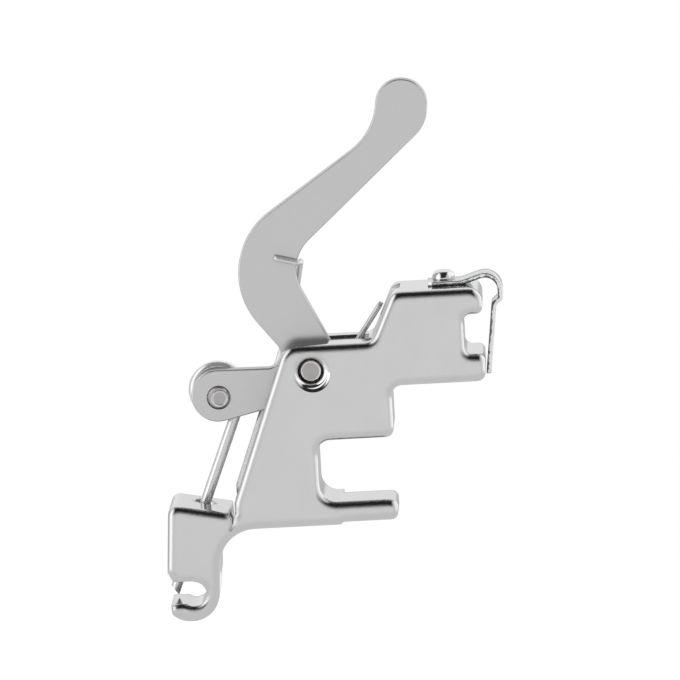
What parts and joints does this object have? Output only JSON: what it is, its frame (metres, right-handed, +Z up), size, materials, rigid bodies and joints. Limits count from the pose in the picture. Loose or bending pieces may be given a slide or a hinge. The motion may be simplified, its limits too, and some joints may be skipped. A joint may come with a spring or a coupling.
{
  "type": "presser foot holder",
  "caption": "Quick-change presser foot holder: slotted frame, sprung release lever, latch rod with a bevelled tip over the foot hook, and a clip spring on the nose.",
  "frame": {"origin": "axis of the clamp screw in the open slot, half way through the thickness of the frame", "axes": "+X towards the slot's open end and the nose, +Y from the front face to the back along the screw, +Z up towards the lever's tip"},
  "size_m": [0.0299, 0.007, 0.0454],
  "materials": {
    "frame_plating": "bright nickel plate, softly rounded edges",
    "pin_steel": "turned steel",
    "spring_wire": "drawn spring wire",
    "lever_sheet": "tumbled and plated sheet",
    "rivet_steel": "peened steel",
    "rod_wire": "bright drawn wire",
    "clip_strip": "polished spring strip"
  },
  "bodies": {
    "frame": {"holder_frame": "frame_plating", "pivot_pin": "pin_steel", "spring_bush": "pin_steel", "return_spring": "spring_wire", "clip_rivet": "rivet_steel"},
    "lever": {"release_lever": "lever_sheet", "arm_rivet": "rivet_steel"},
    "link": {"latch_rod": "rod_wire"},
    "clip": {"clip_spring": "clip_strip"}
  },
  "joints": [
    {"name": "lever_pivot", "type": "hinge", "parent": "frame", "child": "lever", "pos_m": [-0.00286, 0, 0.0087], "axis": [0, 1, 0], "range_deg": [0, 14], "stiffness_Nm_per_rad": 0.001, "springref_deg": -17.19, "deforming": ["return_spring"]},
    {"name": "rod_eye", "type": "hinge", "parent": "lever", "child": "link", "pos_m": [-0.01096, 0, 0.00645], "axis": [0, 1, 0], "range_deg": [-18, 0]},
    {"name": "clip_flex", "type": "hinge", "parent": "frame", "child": "clip", "pos_m": [0.0103, 0.0002, 0.01532], "axis": [0, 1, 0], "range_deg": [-8, 0], "stiffness_Nm_per_rad": 0.002, "springref_deg": 2.86, "deforming": ["clip_spring"]}
  ],
  "couplings": [
    {"joint": "rod_eye", "follows": "lever_pivot", "ratio": -1.27}
  ]
}
